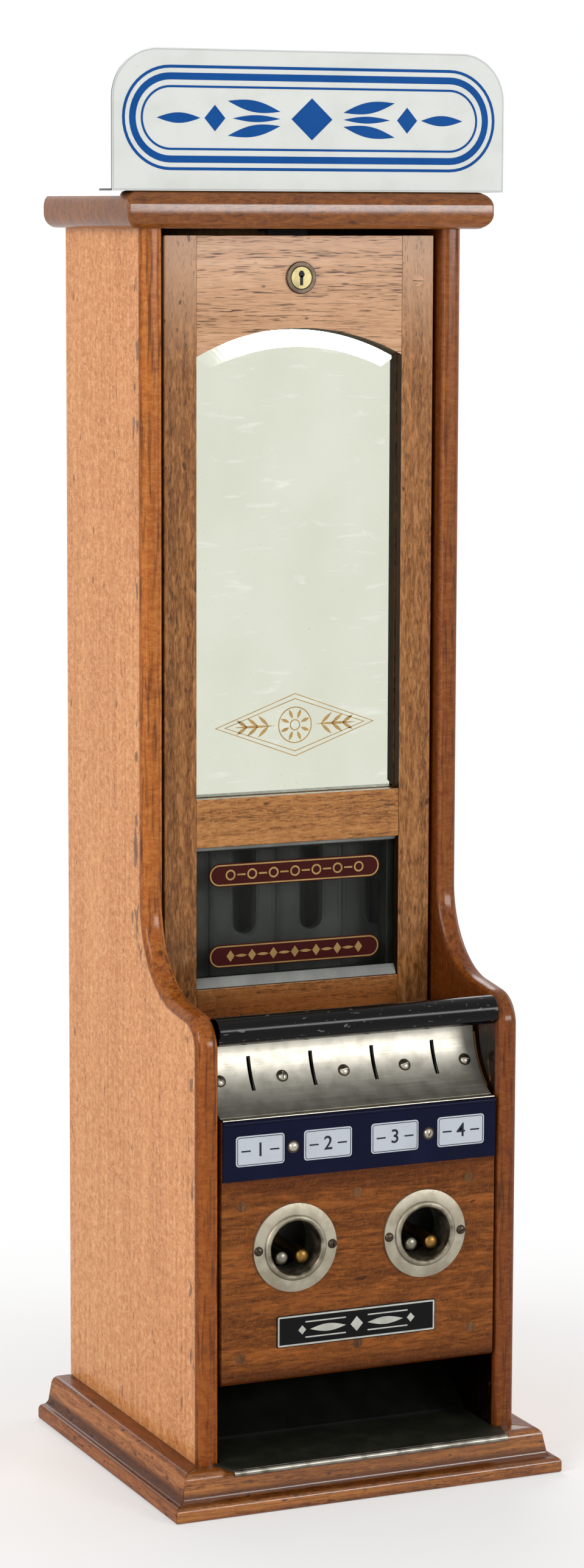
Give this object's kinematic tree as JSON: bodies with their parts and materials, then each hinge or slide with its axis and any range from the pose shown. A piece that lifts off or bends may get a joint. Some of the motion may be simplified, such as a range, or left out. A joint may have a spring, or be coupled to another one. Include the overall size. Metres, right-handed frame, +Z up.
{
  "type": "counter vending machine",
  "caption": "Oak counter vending machine with an arched mirror door, coin slots under a black hood, push rods in nickel finger cups and an open delivery tray.",
  "frame": {"origin": "centre of the bounding box on the underside of the plinth", "axes": "+X to the right seen from the front, +Y to the back, +Z up"},
  "size_m": [0.249, 0.227, 0.838],
  "materials": {
    "oak": "varnished quarter-sawn oak",
    "door_oak": "varnished plain-sawn oak",
    "inner_wood": "unfinished softwood",
    "white_enamel": "gloss vitreous enamel",
    "black_enamel": "gloss enamel",
    "navy_enamel": "gloss vitreous enamel",
    "pale_enamel": "gloss enamel",
    "maroon_enamel": "satin enamel",
    "nickel": "brushed nickel plate",
    "brass": "worn brass",
    "dark_bronze": "darkened brass",
    "japanned_tin": "dull japanned sheet",
    "plain_steel": "plain bar and sheet",
    "spring_steel": "drawn wire",
    "silvered_glass": "bevelled and silvered",
    "window_glass": "clear"
  },
  "bodies": {
    "case": {"base_board": "oak", "plinth_front": "oak", "plinth_left": "oak", "plinth_right": "oak", "left_side": "oak", "right_side": "oak", "back_panel": "inner_wood", "top_board": "oak", "lower_front_panel": "oak", "inner_battens": "inner_wood", "coin_block": "inner_wood", "enamel_sign": "white_enamel", "coin_hood": "black_enamel", "coin_plate": "nickel", "coin_chutes": "plain_steel", "label_strip": "navy_enamel", "product_labels": "pale_enamel", "left_cup": "nickel", "right_cup": "nickel", "round_head_screws": "nickel", "name_plate": "black_enamel", "delivery_tray": "japanned_tin", "delivery_chute": "japanned_tin", "cash_box": "japanned_tin", "coin_ledge": "plain_steel", "rod_guides": "plain_steel", "magazine_shelf": "plain_steel", "magazine_1": "japanned_tin", "magazine_2": "japanned_tin", "magazine_3": "japanned_tin", "magazine_4": "japanned_tin", "rod_spring_1": "spring_steel", "rod_spring_2": "spring_steel", "rod_spring_3": "spring_steel", "rod_spring_4": "spring_steel", "lock_strike": "plain_steel"},
    "door": {"door_left_stile": "door_oak", "door_right_stile": "door_oak", "door_top_rail": "door_oak", "door_mid_rail": "door_oak", "door_bottom_rail": "door_oak", "bevelled_mirror": "silvered_glass", "mirror_back": "inner_wood", "window_glass": "window_glass", "window_frame": "nickel", "window_placards": "maroon_enamel", "door_pivots": "plain_steel", "lock_body": "dark_bronze"},
    "lock": {"lock_plug": "brass", "lock_cam": "brass"},
    "rod_1": {"push_rod_1": "nickel"},
    "rod_2": {"push_rod_2": "brass"},
    "rod_3": {"push_rod_3": "nickel"},
    "rod_4": {"push_rod_4": "brass"},
    "bar_ejector_1": {"ejector_1": "plain_steel"},
    "bar_ejector_2": {"ejector_2": "plain_steel"},
    "bar_ejector_3": {"ejector_3": "plain_steel"},
    "bar_ejector_4": {"ejector_4": "plain_steel"}
  },
  "joints": [
    {"name": "door_tilt", "type": "hinge", "parent": "case", "child": "door", "pos_m": [0, 0.001, 0.266], "axis": [1, 0, 0], "range_deg": [0, 70]},
    {"name": "lock_turn", "type": "hinge", "parent": "door", "child": "lock", "pos_m": [0, -0.0032, 0.7076], "axis": [0, -1, 0], "range_deg": [0, 90]},
    {"name": "rod_1_push", "type": "slide", "parent": "case", "child": "rod_1", "axis": [0, 1, 0], "range_m": [0, 0.03], "stiffness_N_per_m": 80, "springref_m": -0.02, "deforming": ["rod_spring_1"]},
    {"name": "rod_2_push", "type": "slide", "parent": "case", "child": "rod_2", "axis": [0, 1, 0], "range_m": [0, 0.03], "stiffness_N_per_m": 80, "springref_m": -0.02, "deforming": ["rod_spring_2"]},
    {"name": "rod_3_push", "type": "slide", "parent": "case", "child": "rod_3", "axis": [0, 1, 0], "range_m": [0, 0.03], "stiffness_N_per_m": 80, "springref_m": -0.02, "deforming": ["rod_spring_3"]},
    {"name": "rod_4_push", "type": "slide", "parent": "case", "child": "rod_4", "axis": [0, 1, 0], "range_m": [0, 0.03], "stiffness_N_per_m": 80, "springref_m": -0.02, "deforming": ["rod_spring_4"]},
    {"name": "ejector_1_slide", "type": "slide", "parent": "case", "child": "bar_ejector_1", "axis": [0, 1, 0], "range_m": [0, 0.03]},
    {"name": "ejector_2_slide", "type": "slide", "parent": "case", "child": "bar_ejector_2", "axis": [0, 1, 0], "range_m": [0, 0.03]},
    {"name": "ejector_3_slide", "type": "slide", "parent": "case", "child": "bar_ejector_3", "axis": [0, 1, 0], "range_m": [0, 0.03]},
    {"name": "ejector_4_slide", "type": "slide", "parent": "case", "child": "bar_ejector_4", "axis": [0, 1, 0], "range_m": [0, 0.03]}
  ],
  "couplings": [
    {"joint": "ejector_1_slide", "follows": "rod_1_push", "ratio": 1},
    {"joint": "ejector_2_slide", "follows": "rod_2_push", "ratio": 1},
    {"joint": "ejector_3_slide", "follows": "rod_3_push", "ratio": 1},
    {"joint": "ejector_4_slide", "follows": "rod_4_push", "ratio": 1}
  ]
}
